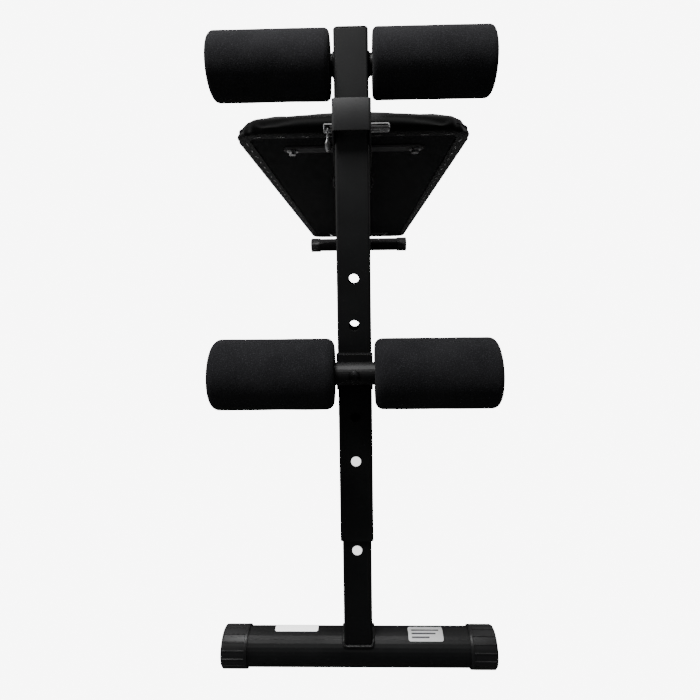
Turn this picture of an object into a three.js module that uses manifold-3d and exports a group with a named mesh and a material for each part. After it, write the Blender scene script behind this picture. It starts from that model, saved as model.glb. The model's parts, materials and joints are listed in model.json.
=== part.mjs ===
// Folding decline sit-up bench.
//
// Millimetres, +Z up. The origin is on the floor midway between the feet, +Y runs to the rear along
// the board and +X is to the right as seen from the front foot.
//
// The frame is an A: a square front post that leans back, and a beam under the board that slopes down
// to the rear foot. A folded bracket on the post holds the head of the beam with a pivot pin below and a
// removable lock pin above. Each half of the A is drawn in its own turned group:
//   post group   +Z runs up the post from the centre of the front foot, +Y is behind the post
//   board group  +Y runs down the board from its front edge, +Z is out of the cushion

import * as THREE from 'three';
import { mergeVertices } from 'three/addons/utils/BufferGeometryUtils.js';
import Module from 'manifold-3d';

const wasm = await Module();
wasm.setup();

// ---------------------------------------------------------------- driving dimensions

const GAP = 0.3; // between neighbouring pieces

// feet
const FOOT_TUBE_R = 22;
const FOOT_WALL = 1.6;
const CAP_R = 24; // over the ribs
const FOOT_HEIGHT = 24.3; // foot tube's axis above the floor
const CAP_PAD = 14; // width of the flat pad that a cap stands on
const CAP_LENGTH = 33;
const CAP_END = 3; // thickness of a cap's closed end
const CAP_RIBS = 16;
const CAP_RIB_DEPTH = 0.7;
const FOOT_HALF = 170.5; // middle of the foot to the outside of a cap

// front post: outer tube with the leg tube telescoping in its lower end
const LEAN = THREE.MathUtils.degToRad(23.1);
const POST = 40;
const POST_WALL = 1.5;
const POST_CORNER = 3;
const POST_LOW = 148;
const POST_TOP = 750;
const LEG = 35;
const LEG_WALL = 1.5;
const LEG_TOP = 330;
const HOLE_R = 6.2;
const HOLE_PITCH = 54.5;
const LEG_FIRST_HOLE = 135;
const ADJUST_HOLE = LEG_FIRST_HOLE + HOLE_PITCH; // the plunger engages here
const POST_FIRST_HOLE = 246.5;
const PLUNGER_R = 4.7;
const BOLT_R = 4; // M8

// foam rollers
const FOAM_R = 40.2;
const FOAM_LENGTH = 139;
const UPPER_FOAM_START = 24.8;
const LOWER_FOAM_START = 23;
const UPPER_TUBE_R = 13;
const LOWER_TUBE_R = 13;
const CROSS_WALL = 1.5;
const UPPER_S = 716; // distances up the post
const LOWER_S = 357.5; // bolted through the post between the second and fourth holes
const LOWER_FORWARD = 38.8; // lower cross tube's axis in front of the post's axis

// hinge bracket, beam head and pins
const BRACKET_SHEET = 2;
const BRACKET_INSIDE = 20.3; // half width between the flanges
const BRACKET_FORWARD = 30; // inside of the web, in front of the post's axis
const BRACKET_LOW = 633;
const BRACKET_TOP = 669;
const PIVOT = new THREE.Vector2(42, 586); // (behind the post's axis, up the post)
const PIVOT_R = 5;
const LOCK = new THREE.Vector2(33.5, 651);
const LOCK_R = 6;
const LOCK_LEFT = -36;
const LOCK_RIGHT = 47;
const RING_R = 13.5;
const RING_WIRE_R = 1.2;
const CHEEK_INSIDE = 17.8;
const CHEEK_SHEET = 2;

// board, measured from the lower front edge of the board
const BOARD_BACK = 44.3; // behind the post's axis
const BOARD_UP = 649; // up the post
const BOARD_WIDTH = 310;
const BOARD_LENGTH = 1136;
const PLY = 10;
const PLY_INSET = 4;
const PLY_CORNER = 24;
const CUSHION_EDGE = 13;
const CUSHION_CROWN = 33;
const CUSHION_CORNER = 30; // seen from above
const CUSHION_ROLL = 13; // how far in from its edge the top rolls over
const BEAM = 35;
const BEAM_WALL = 1.6;
const BAR_SHEET = 3;
const BAR_WIDTH = 22;
const BAR_HALF = 98;
const BAR_PLACES = [69, 1042];
const BOLT_SPACING = 172;
const REAR_FOOT_Y = 1201;

const BEAM_Z = -(GAP + BAR_SHEET + GAP + BEAM / 2);
const BOARD_FRONT = new THREE.Vector2(
  BOARD_UP * Math.sin(LEAN) + BOARD_BACK * Math.cos(LEAN),
  FOOT_HEIGHT + BOARD_UP * Math.cos(LEAN) - BOARD_BACK * Math.sin(LEAN),
);
// the slope that brings the rear foot down to the floor
const DECLINE =
  Math.asin((BOARD_FRONT.y - FOOT_HEIGHT) / Math.hypot(REAR_FOOT_Y, BEAM_Z)) + Math.atan(BEAM_Z / REAR_FOOT_Y);
const FEET_APART = BOARD_FRONT.x + REAR_FOOT_Y * Math.cos(DECLINE) + BEAM_Z * Math.sin(DECLINE);

// ---------------------------------------------------------------- materials

const finish = (color, roughness, metalness) => new THREE.MeshStandardMaterial({ color, roughness, metalness });
const paint = () => finish(0x1b1c1f, 0.42, 0.3);
const zinc = () => finish(0xc9ccd0, 0.3, 0.9);
const blackSteel = () => finish(0x232427, 0.45, 0.6);
const foam = () => finish(0x151517, 0.95, 0);
const plastic = () => finish(0x17181a, 0.6, 0);
const vinyl = () => finish(0x111114, 0.35, 0);
const plywood = () => finish(0x1a1a1c, 0.85, 0);
const whitePlastic = () => finish(0xf0f0ee, 0.5, 0);

// ---------------------------------------------------------------- geometry helpers

const ROUND = 32; // facets round a tube or roller
const SMALL = 16; // facets round a pin or bolt

function solid(geometry) {
  const bare = geometry.clone();
  bare.deleteAttribute('normal');
  bare.deleteAttribute('uv');
  const merged = mergeVertices(bare, 1e-4);
  const vertProperties = Float32Array.from(merged.attributes.position.array);
  const triVerts = Uint32Array.from(merged.index.array);
  return new wasm.Manifold(new wasm.Mesh({ numProp: 3, vertProperties, triVerts }));
}

function geometryOf(manifold) {
  const mesh = manifold.getMesh();
  const geometry = new THREE.BufferGeometry();
  geometry.setAttribute('position', new THREE.BufferAttribute(mesh.vertProperties, 3));
  geometry.setIndex(new THREE.BufferAttribute(mesh.triVerts, 1));
  geometry.computeVertexNormals();
  return geometry;
}

function cut(geometry, ...tools) {
  const result = tools.reduce((body, tool) => body.subtract(solid(tool)), solid(geometry));
  return geometryOf(result);
}

function join(...geometries) {
  const [first, ...rest] = geometries.map(solid);
  return geometryOf(rest.reduce((body, next) => body.add(next), first));
}

function box(x0, x1, y0, y1, z0, z1) {
  const geometry = new THREE.BoxGeometry(x1 - x0, y1 - y0, z1 - z0);
  return geometry.translate((x0 + x1) / 2, (y0 + y1) / 2, (z0 + z1) / 2);
}

function alongX(radius, x0, x1, y = 0, z = 0, facets = SMALL) {
  const geometry = new THREE.CylinderGeometry(radius, radius, x1 - x0, facets);
  return geometry.rotateZ(Math.PI / 2).translate((x0 + x1) / 2, y, z);
}

function alongY(radius, y0, y1, x = 0, z = 0, facets = SMALL) {
  return new THREE.CylinderGeometry(radius, radius, y1 - y0, facets).translate(x, (y0 + y1) / 2, z);
}

function alongZ(radius, z0, z1, x = 0, y = 0, facets = SMALL) {
  const geometry = new THREE.CylinderGeometry(radius, radius, z1 - z0, facets);
  return geometry.rotateX(Math.PI / 2).translate(x, y, (z0 + z1) / 2);
}

function roundedRectangle(width, height, corner, path = new THREE.Shape()) {
  const x = width / 2 - corner;
  const y = height / 2 - corner;
  path.moveTo(-x, -y - corner);
  path.absarc(x, -y, corner, -Math.PI / 2, 0);
  path.absarc(x, y, corner, 0, Math.PI / 2);
  path.absarc(-x, y, corner, Math.PI / 2, Math.PI);
  path.absarc(-x, -y, corner, Math.PI, Math.PI * 1.5);
  return path;
}

const roundedSquare = (side, corner, path) => roundedRectangle(side, side, corner, path);

function squareTube(side, wall, corner, z0, z1) {
  const outline = roundedSquare(side, corner);
  outline.holes.push(roundedSquare(side - 2 * wall, corner - wall, new THREE.Path()));
  const geometry = new THREE.ExtrudeGeometry(outline, { depth: z1 - z0, bevelEnabled: false, curveSegments: 3 });
  return geometry.translate(0, 0, z0);
}

// a straight round tube along X, centred on x = 0
function roundTube(radius, wall, length) {
  return cut(
    alongX(radius, -length / 2, length / 2, 0, 0, ROUND),
    alongX(radius - wall, -length, length, 0, 0, ROUND),
  );
}

// a solid of revolution about X; profile points are [x, radius]
function turned(profile, facets = SMALL) {
  const points = profile.map(([x, radius]) => new THREE.Vector2(radius, -x)).reverse();
  return new THREE.LatheGeometry(points, facets).rotateZ(Math.PI / 2);
}

// swings a turned solid so that its profile's x runs towards +Y
const behind = (geometry) => geometry.rotateZ(Math.PI / 2);

// extrudes an outline drawn as (y, z) along X
const ACROSS = new THREE.Matrix4().makeBasis(
  new THREE.Vector3(0, 1, 0),
  new THREE.Vector3(0, 0, 1),
  new THREE.Vector3(1, 0, 0),
);

function plate(outline, x0, x1, curveSegments = 8) {
  const geometry = new THREE.ExtrudeGeometry(outline, { depth: x1 - x0, bevelEnabled: false, curveSegments });
  return geometry.applyMatrix4(ACROSS).translate(x0, 0, 0);
}

function add(group, name, geometry, material) {
  const mesh = new THREE.Mesh(geometry, material);
  mesh.name = name;
  group.add(mesh);
  return mesh;
}

// ---------------------------------------------------------------- groups

const bench = new THREE.Group();
bench.position.y = -FEET_APART / 2;

const post = new THREE.Group();
post.position.set(0, 0, FOOT_HEIGHT);
post.rotation.x = -LEAN;
bench.add(post);

const board = new THREE.Group();
board.position.set(0, BOARD_FRONT.x, BOARD_FRONT.y);
board.rotation.x = -DECLINE;
bench.add(board);

// ---------------------------------------------------------------- feet

function capOutline() {
  const outline = new THREE.Shape();
  const points = [];
  for (let rib = 0; rib < CAP_RIBS; rib += 1) {
    for (const [part, depth] of [[0.1, 0], [0.55, 0], [0.65, CAP_RIB_DEPTH], [1, CAP_RIB_DEPTH]]) {
      const angle = ((rib + part) / CAP_RIBS) * 2 * Math.PI;
      const radius = CAP_R - depth;
      points.push(new THREE.Vector2(radius * Math.cos(angle), radius * Math.sin(angle)));
    }
  }
  return outline.setFromPoints(points);
}

// a ribbed cup over the right end of a foot tube, with a flat pad underneath
function footCap() {
  const inner = FOOT_HALF - CAP_LENGTH;
  const pad = box(inner, FOOT_HALF, -CAP_PAD / 2, CAP_PAD / 2, -FOOT_HEIGHT, -FOOT_TUBE_R);
  return cut(
    join(plate(capOutline(), inner, FOOT_HALF), pad),
    alongX(FOOT_TUBE_R + GAP, 0, FOOT_HALF - CAP_END, 0, 0, ROUND),
  );
}

function addFoot(name, y) {
  const tube = roundTube(FOOT_TUBE_R, FOOT_WALL, 2 * (FOOT_HALF - CAP_END - GAP));
  add(bench, `${name}_foot_tube`, tube, paint()).position.set(0, y, FOOT_HEIGHT);
  for (const [label, turn] of [['left', Math.PI], ['right', 0]]) {
    const cap = add(bench, `${name}_foot_cap_${label}`, footCap(), plastic());
    cap.position.set(0, y, FOOT_HEIGHT);
    cap.rotation.z = turn;
  }
}

addFoot('front', 0);
addFoot('rear', FEET_APART);

// ---------------------------------------------------------------- leg tube and post tube

function legTube() {
  const holes = [0, 1, 2, 3].map((step) => alongY(HOLE_R, -POST, POST, 0, LEG_FIRST_HOLE + step * HOLE_PITCH));
  return cut(
    squareTube(LEG, LEG_WALL, POST_CORNER, 0, LEG_TOP),
    alongX(FOOT_TUBE_R + GAP, -POST, POST, 0, 0, ROUND),
    box(-POST, POST, -POST, POST, -1, FOOT_TUBE_R / 2),
    ...holes,
  );
}

function postTube() {
  const front = [0, 1, 3, 4].map((step) => alongY(HOLE_R, -POST, POST, 0, POST_FIRST_HOLE + step * HOLE_PITCH));
  return cut(
    squareTube(POST, POST_WALL, POST_CORNER, POST_LOW, POST_TOP),
    ...front,
    alongY(BOLT_R + GAP, -POST, POST, 0, LOWER_S),
    alongY(PLUNGER_R + GAP, 0, POST, 0, ADJUST_HOLE),
    alongX(UPPER_TUBE_R + GAP, -POST, POST, 0, UPPER_S, ROUND),
  );
}

add(post, 'leg_tube', legTube(), paint());
add(post, 'post_tube', postTube(), paint());

// plastic sleeve that guides the leg in the post's lower end
const BUSH_LENGTH = 24;
const BUSH_SIDE = POST - 2 * POST_WALL - 0.4;
add(
  post,
  'leg_guide_bush',
  squareTube(BUSH_SIDE, 0.5, 2.2, POST_LOW + 1, POST_LOW + 1 + BUSH_LENGTH),
  plastic(),
);

// plug in the post's open top: a dome on a square spigot
const PLUG_HEIGHT = 2;
const PLUG_DEPTH = 12;
function postCap() {
  const inside = POST - 2 * POST_WALL - 2 * GAP;
  const lid = new THREE.ExtrudeGeometry(roundedSquare(POST - 4, POST_CORNER + 1), {
    depth: 0.4,
    bevelSize: 1.6,
    bevelThickness: PLUG_HEIGHT / 2,
    bevelSegments: 2,
    curveSegments: 3,
  });
  const spigot = new THREE.ExtrudeGeometry(roundedSquare(inside, POST_CORNER - POST_WALL), {
    depth: PLUG_DEPTH + 1,
    bevelEnabled: false,
    curveSegments: 3,
  });
  return join(lid.translate(0, 0, POST_TOP + GAP + PLUG_HEIGHT / 2), spigot.translate(0, 0, POST_TOP - PLUG_DEPTH));
}
add(post, 'post_cap', postCap(), plastic());

// white plugs close the lowest hole of the post and the lowest hole of the leg
function holePlug(face, depth) {
  const radius = HOLE_R - GAP;
  const cup = turned([
    [0, 0],
    [0, radius - 0.4],
    [0.4, radius],
    [depth, radius],
    [depth, radius - 1.2],
    [1.3, radius - 1.2],
    [1.3, 0],
  ], 24);
  return behind(cup).translate(0, -face, 0);
}
add(post, 'post_hole_plug', holePlug(POST / 2, 2.1), whitePlastic()).position.z = POST_FIRST_HOLE;
add(post, 'leg_hole_plug', holePlug(LEG / 2, 4), whitePlastic()).position.z = LEG_FIRST_HOLE;

// ---------------------------------------------------------------- spring plunger behind the post

const BARREL_R = 10;
const BARREL_BORE = 7.6;
const BARREL_START = POST / 2 + GAP;
const BARREL_END = 46;
const BARREL_LID = 2.4;
const PLUNGER_TIP = POST / 2 - POST_WALL + 0.1;
const COLLAR = 31.5; // front face of the plunger's collar when it is pulled out
const COLLAR_THICK = 2;
const KNOB_START = 56;
const KNOB_LENGTH = 12;
const KNOB_R = 13;
const SPRING_R = 6.2;
const SPRING_WIRE = 0.6;

const barrel = behind(turned([
  [BARREL_START, BARREL_BORE],
  [BARREL_START, BARREL_R],
  [BARREL_END, BARREL_R],
  [BARREL_END, PLUNGER_R + GAP],
  [BARREL_END - BARREL_LID, PLUNGER_R + GAP],
  [BARREL_END - BARREL_LID, BARREL_BORE],
  [BARREL_START, BARREL_BORE],
]));
const plunger = behind(turned([
  [PLUNGER_TIP, 0],
  [PLUNGER_TIP, PLUNGER_R - 0.8],
  [PLUNGER_TIP + 0.8, PLUNGER_R],
  [COLLAR, PLUNGER_R],
  [COLLAR, BARREL_BORE - GAP],
  [COLLAR + COLLAR_THICK, BARREL_BORE - GAP],
  [COLLAR + COLLAR_THICK, PLUNGER_R],
  [KNOB_START, PLUNGER_R],
  [KNOB_START, KNOB_R - 4],
  [KNOB_START + 4, KNOB_R],
  [KNOB_START + KNOB_LENGTH - 3, KNOB_R],
  [KNOB_START + KNOB_LENGTH, KNOB_R - 3],
  [KNOB_START + KNOB_LENGTH, 0],
]));
add(post, 'plunger_barrel', barrel, paint()).position.z = ADJUST_HOLE;
add(post, 'adjust_plunger', plunger, blackSteel()).position.z = ADJUST_HOLE;

class Helix extends THREE.Curve {
  constructor(radius, start, end, turns) {
    super();
    Object.assign(this, { radius, start, end, turns });
  }

  getPoint(t) {
    const angle = t * this.turns * 2 * Math.PI;
    const y = this.start + t * (this.end - this.start);
    return new THREE.Vector3(this.radius * Math.cos(angle), y, this.radius * Math.sin(angle));
  }
}

function wire(curve, radius, steps, facets) {
  const outline = new THREE.Shape().absarc(0, 0, radius, 0, 2 * Math.PI);
  return new THREE.ExtrudeGeometry(outline, { extrudePath: curve, steps, curveSegments: facets });
}

const springStart = COLLAR + COLLAR_THICK + GAP + SPRING_WIRE;
const springEnd = BARREL_END - BARREL_LID - GAP - SPRING_WIRE;
const spring = wire(new Helix(SPRING_R, springStart, springEnd, 4), SPRING_WIRE, 40, 2);
add(post, 'plunger_spring', spring, zinc()).position.z = ADJUST_HOLE;

// ---------------------------------------------------------------- rollers

// foam sleeve with rounded ends, along +X from start
function foamRoller(start, bore, corner) {
  const end = start + FOAM_LENGTH;
  const profile = [[start, bore]];
  const arc = (x, from) => {
    for (let step = 0; step <= 3; step += 1) {
      const angle = from - (step / 3) * (Math.PI / 2);
      profile.push([x + corner * Math.cos(angle), FOAM_R - corner + corner * Math.sin(angle)]);
    }
  };
  arc(start + corner, Math.PI);
  arc(end - corner, Math.PI / 2);
  profile.push([end, bore], [start, bore]);
  return turned(profile, ROUND);
}

// end plug: a flange that keeps the foam on, with a spigot in the tube
const FLANGE_THICK = 2.5;
function tubePlug(end, radius) {
  const flange = turned([
    [end + GAP, 0],
    [end + GAP, radius + 3],
    [end + GAP + FLANGE_THICK - 1, radius + 3],
    [end + GAP + FLANGE_THICK, radius],
    [end + GAP + FLANGE_THICK, 0],
  ]);
  return join(flange, alongX(radius - CROSS_WALL - GAP, end - PLUG_DEPTH, end + 1));
}

function addRollers(name, radius, y, s, start, corner, tube) {
  const end = start + FOAM_LENGTH + GAP;
  add(post, `${name}_cross_tube`, tube(radius, end), paint()).position.set(0, y, s);
  for (const [label, turn] of [['left', Math.PI], ['right', 0]]) {
    const roller = add(post, `${name}_foam_${label}`, foamRoller(start, radius + GAP, corner), foam());
    const plug = add(post, `${name}_tube_plug_${label}`, tubePlug(end, radius), plastic());
    for (const piece of [roller, plug]) {
      piece.position.set(0, y, s);
      piece.rotation.y = turn;
    }
  }
}

const plainTube = (radius, end) => roundTube(radius, CROSS_WALL, 2 * end);
const drilledTube = (radius, end) =>
  cut(roundTube(radius, CROSS_WALL, 2 * end), alongY(BOLT_R + GAP, -2 * radius, 2 * radius));

addRollers('upper', UPPER_TUBE_R, 0, UPPER_S, UPPER_FOAM_START, 5, plainTube);
addRollers('lower', LOWER_TUBE_R, -LOWER_FORWARD, LOWER_S, LOWER_FOAM_START, 7, drilledTube);

// saddle between the lower cross tube and the post, and the bolt through all three
const SADDLE_HALF_WIDTH = 21;
const SADDLE_HALF_HEIGHT = 20.5;
const SADDLE_FRONT = -31;
const saddle = cut(
  box(-SADDLE_HALF_WIDTH, SADDLE_HALF_WIDTH, SADDLE_FRONT, -POST / 2 - GAP, -SADDLE_HALF_HEIGHT, SADDLE_HALF_HEIGHT),
  alongX(LOWER_TUBE_R + GAP, -POST, POST, -LOWER_FORWARD, 0, ROUND),
  alongY(BOLT_R + GAP, -POST, 0),
);
add(post, 'roller_saddle', saddle, paint()).position.z = LOWER_S;

const nutStart = POST / 2 + GAP;
const nutThick = 6.5;
const boltSeat = -LOWER_FORWARD - LOWER_TUBE_R - GAP;
const boltEnd = nutStart + nutThick + 2;
const saddleBolt = behind(turned([
  [boltSeat - 4, 0],
  [boltSeat - 4, 3],
  [boltSeat - 2.8, 5.4],
  [boltSeat - 1, 6.6],
  [boltSeat, 6.6],
  [boltSeat, BOLT_R],
  [boltEnd - 1, BOLT_R],
  [boltEnd, BOLT_R - 1],
  [boltEnd, 0],
]));
add(post, 'saddle_bolt', saddleBolt, blackSteel()).position.z = LOWER_S;
const nut = cut(
  alongY(BOLT_R * 1.75, nutStart, nutStart + nutThick, 0, 0, 6),
  alongY(BOLT_R + GAP, 0, POST),
);
add(post, 'saddle_nut', nut, zinc()).position.z = LOWER_S;

// ---------------------------------------------------------------- hinge bracket on the post

// side view of the bracket: the web's front edge, then round the pivot
function bracketOutline() {
  const front = -BRACKET_FORWARD - BRACKET_SHEET;
  const lobe = 14;
  const outline = new THREE.Shape();
  outline.moveTo(front, BRACKET_TOP);
  outline.lineTo(front, BRACKET_LOW);
  outline.lineTo(-POST / 2, BRACKET_LOW - 12);
  outline.lineTo(PIVOT.x - lobe, PIVOT.y);
  outline.absarc(PIVOT.x, PIVOT.y, lobe, Math.PI, 2 * Math.PI);
  outline.lineTo(PIVOT.x + lobe, PIVOT.y + 20);
  outline.lineTo(LOCK.x + LOCK_R + 3.5, BOARD_UP - 12);
  outline.lineTo(LOCK.x + LOCK_R + 3.5, BRACKET_TOP);
  outline.closePath();
  return outline;
}

function hingeBracket() {
  const half = BRACKET_INSIDE + BRACKET_SHEET;
  return cut(
    plate(bracketOutline(), -half, half),
    box(-BRACKET_INSIDE, BRACKET_INSIDE, -BRACKET_FORWARD, 2 * POST, PIVOT.y - POST, BRACKET_TOP + POST),
    alongX(PIVOT_R + GAP, -POST, POST, PIVOT.x, PIVOT.y),
    alongX(LOCK_R + GAP, -POST, POST, LOCK.x, LOCK.y),
  );
}
add(post, 'hinge_bracket', hingeBracket(), paint());

// pivot pin: domed head on the left, push-on cap on the right
const PIVOT_HEAD = BRACKET_INSIDE + BRACKET_SHEET + GAP;
const PIVOT_HEAD_THICK = 3;
const pivotPin = turned([
  [-PIVOT_HEAD - PIVOT_HEAD_THICK, 0],
  [-PIVOT_HEAD - PIVOT_HEAD_THICK, PIVOT_R],
  [-PIVOT_HEAD - 1, PIVOT_R + 3],
  [-PIVOT_HEAD, PIVOT_R + 3],
  [-PIVOT_HEAD, PIVOT_R],
  [PIVOT_HEAD + 2, PIVOT_R],
  [PIVOT_HEAD + 3, PIVOT_R - 1],
  [PIVOT_HEAD + 3, 0],
]);
const pivotCap = turned([
  [PIVOT_HEAD, PIVOT_R + GAP],
  [PIVOT_HEAD, PIVOT_R + 3.5],
  [PIVOT_HEAD + 2, PIVOT_R + 2.5],
  [PIVOT_HEAD + 2, PIVOT_R + GAP],
  [PIVOT_HEAD, PIVOT_R + GAP],
]);
add(post, 'pivot_pin', pivotPin, blackSteel()).position.set(0, PIVOT.x, PIVOT.y);
add(post, 'pivot_cap', pivotCap, blackSteel()).position.set(0, PIVOT.x, PIVOT.y);

// lock pin with a cross hole for its pull ring
const RING_X = LOCK_LEFT + 5.5;
const RING_HOLE_R = 3.1;
const lockPin = cut(
  turned([
    [LOCK_LEFT, 0],
    [LOCK_LEFT, LOCK_R - 1],
    [LOCK_LEFT + 1, LOCK_R],
    [LOCK_RIGHT - 2.5, LOCK_R],
    [LOCK_RIGHT - 1, LOCK_R - 1],
    [LOCK_RIGHT, LOCK_R - 3],
    [LOCK_RIGHT, 0],
  ], 28),
  alongY(RING_HOLE_R, -2 * LOCK_R, 2 * LOCK_R, RING_X),
);
add(post, 'lock_pin', lockPin, zinc()).position.set(0, LOCK.x, LOCK.y);

const ring = new THREE.TorusGeometry(RING_R, RING_WIRE_R, 6, 24).rotateY(Math.PI / 2);
add(post, 'lock_pin_ring', ring, zinc()).position.set(RING_X, LOCK.x, LOCK.y - RING_R);

// ---------------------------------------------------------------- beam head, beam and cross bars

// cheek plate at the front of the beam, drawn in the post group's side view: it reaches up beside the
// lock pin, which drops into a notch open towards the post, and turns on the pivot pin
function cheekOutline() {
  const front = POST / 2 + 1.5;
  const back = BOARD_BACK - 1.2;
  const lobe = 18;
  const slot = LOCK_R + 0.5;
  const flare = 7;
  const outline = new THREE.Shape();
  outline.moveTo(front, LOCK.y + slot + 5);
  outline.lineTo(front, LOCK.y + slot);
  outline.lineTo(LOCK.x, LOCK.y + slot);
  outline.absarc(LOCK.x, LOCK.y, slot, Math.PI / 2, -Math.PI / 2, true);
  outline.lineTo(front, LOCK.y - slot - flare);
  outline.lineTo(PIVOT.x - lobe, PIVOT.y + 8);
  outline.lineTo(PIVOT.x - lobe, PIVOT.y);
  outline.absarc(PIVOT.x, PIVOT.y, lobe, Math.PI, 1.75 * Math.PI);
  outline.lineTo(PIVOT.x + 75, PIVOT.y + 22);
  outline.lineTo(PIVOT.x + 75, PIVOT.y + 48);
  outline.lineTo(back, BOARD_UP - 5);
  outline.lineTo(back, LOCK.y + slot + 5);
  outline.closePath();
  return outline;
}

const pivotHole = alongX(PIVOT_R + GAP, -POST, POST, PIVOT.x, PIVOT.y);
for (const [label, x0] of [['left', -CHEEK_INSIDE - CHEEK_SHEET], ['right', CHEEK_INSIDE]]) {
  add(post, `beam_cheek_${label}`, cut(plate(cheekOutline(), x0, x0 + CHEEK_SHEET), pivotHole), paint());
}

// square tube under the board, mitred to clear the post and coped to the rear foot tube
const BEAM_START = 14;
function beamTube() {
  const tube = squareTube(BEAM, BEAM_WALL, POST_CORNER, BEAM_START, REAR_FOOT_Y).rotateX(-Math.PI / 2);
  return cut(
    tube.translate(0, 0, BEAM_Z),
    alongX(FOOT_TUBE_R + GAP, -POST, POST, REAR_FOOT_Y, BEAM_Z, ROUND),
    box(-POST, POST, REAR_FOOT_Y - FOOT_TUBE_R / 2, REAR_FOOT_Y + 1, BEAM_Z - POST, BEAM_Z + POST),
  );
}
add(board, 'beam_tube', beamTube(), paint());

const SCREW_R = 3; // M6
const barZ = -GAP - BAR_SHEET;
function crossBar() {
  const outline = new THREE.Shape();
  const straight = BAR_HALF - BAR_WIDTH / 2;
  outline.absarc(straight, 0, BAR_WIDTH / 2, -Math.PI / 2, Math.PI / 2);
  outline.absarc(-straight, 0, BAR_WIDTH / 2, Math.PI / 2, 1.5 * Math.PI);
  const bar = new THREE.ExtrudeGeometry(outline, { depth: BAR_SHEET, bevelEnabled: false, curveSegments: 8 });
  const holes = [-1, 1].map((side) => alongZ(SCREW_R + GAP, -1, BAR_SHEET + 1, (side * BOLT_SPACING) / 2));
  return cut(bar, ...holes);
}
const BAR_NAMES = ['front', 'rear'];
BAR_PLACES.forEach((y, place) => {
  add(board, `${BAR_NAMES[place]}_cross_bar`, crossBar(), paint()).position.set(0, y, barZ);
});

// ---------------------------------------------------------------- board and its screws

function plyBoard() {
  const holes = [];
  for (const y of BAR_PLACES) {
    for (const side of [-1, 1]) holes.push(alongZ(SCREW_R + GAP, -1, 7, (side * BOLT_SPACING) / 2, y));
  }
  const width = BOARD_WIDTH - 2 * PLY_INSET;
  const length = BOARD_LENGTH - 2 * PLY_INSET;
  const outline = roundedRectangle(width, length, PLY_CORNER);
  const sheet = new THREE.ExtrudeGeometry(outline, { depth: PLY, bevelEnabled: false, curveSegments: 5 });
  return cut(sheet.translate(0, BOARD_LENGTH / 2, 0), ...holes);
}
add(board, 'board_ply', plyBoard(), plywood());

// padded top: flat underneath, crowned across and rolled over all round
function cushion() {
  const halfWidth = BOARD_WIDTH / 2;
  const halfLength = BOARD_LENGTH / 2;
  const floor = PLY + GAP;
  const rim = floor + 0.8;
  const crown = (x) => (1 - Math.abs(x / halfWidth) ** 2.4) ** 0.55;
  const roll = (inset) => Math.sqrt(1 - (1 - Math.min(1, Math.max(0, inset / CUSHION_ROLL))) ** 2);
  const geometry = new THREE.BoxGeometry(2, 2, 1, 16, 24, 1);
  const position = geometry.attributes.position;
  for (let i = 0; i < position.count; i += 1) {
    // rows and columns crowd towards the edges
    let x = halfWidth * Math.sin((position.getX(i) * Math.PI) / 2);
    let y = halfLength * Math.sin((position.getY(i) * Math.PI) / 2);
    const full = CUSHION_EDGE + (CUSHION_CROWN - CUSHION_EDGE) * crown(x);
    // the four corners are bent round an arc
    const a = Math.max(0, Math.abs(x) - halfWidth + CUSHION_CORNER) / CUSHION_CORNER;
    const b = Math.max(0, Math.abs(y) - halfLength + CUSHION_CORNER) / CUSHION_CORNER;
    const bentX = a * Math.sqrt(1 - (b * b) / 2);
    const bentY = b * Math.sqrt(1 - (a * a) / 2);
    x -= Math.sign(x) * (a - bentX) * CUSHION_CORNER;
    y -= Math.sign(y) * (b - bentY) * CUSHION_CORNER;
    const inset = CUSHION_CORNER * (1 - Math.hypot(bentX, bentY));
    const top = rim + (full - rim) * roll(inset);
    position.setXYZ(i, x, halfLength + y, position.getZ(i) > 0 ? top : floor);
  }
  return geometry;
}
add(board, 'cushion', cushion(), vinyl());

const WASHER_R = 8;
const WASHER_THICK = 1.5;
const washerTop = barZ - GAP;
const screwSeat = washerTop - WASHER_THICK - GAP;
function boardWasher() {
  return cut(alongZ(WASHER_R, washerTop - WASHER_THICK, washerTop), alongZ(SCREW_R + GAP, -POST, POST));
}
function boardScrew() {
  return join(
    alongZ(SCREW_R * 1.85, screwSeat - 4, screwSeat, 0, 0, 6),
    alongZ(SCREW_R, screwSeat - 1, PLY - 4),
  );
}
BAR_PLACES.forEach((y, place) => {
  for (const [label, side] of [['left', -1], ['right', 1]]) {
    const x = (side * BOLT_SPACING) / 2;
    add(board, `${BAR_NAMES[place]}_screw_${label}`, boardScrew(), zinc()).position.set(x, y, 0);
    add(board, `${BAR_NAMES[place]}_washer_${label}`, boardWasher(), zinc()).position.set(x, y, 0);
  }
});

export default bench;
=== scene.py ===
"""Looks of the folding decline sit-up bench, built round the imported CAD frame. Metres, +Z up."""

import json
import math

import bmesh
import bpy
import numpy as np
from mathutils import Matrix, Vector, noise


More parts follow.
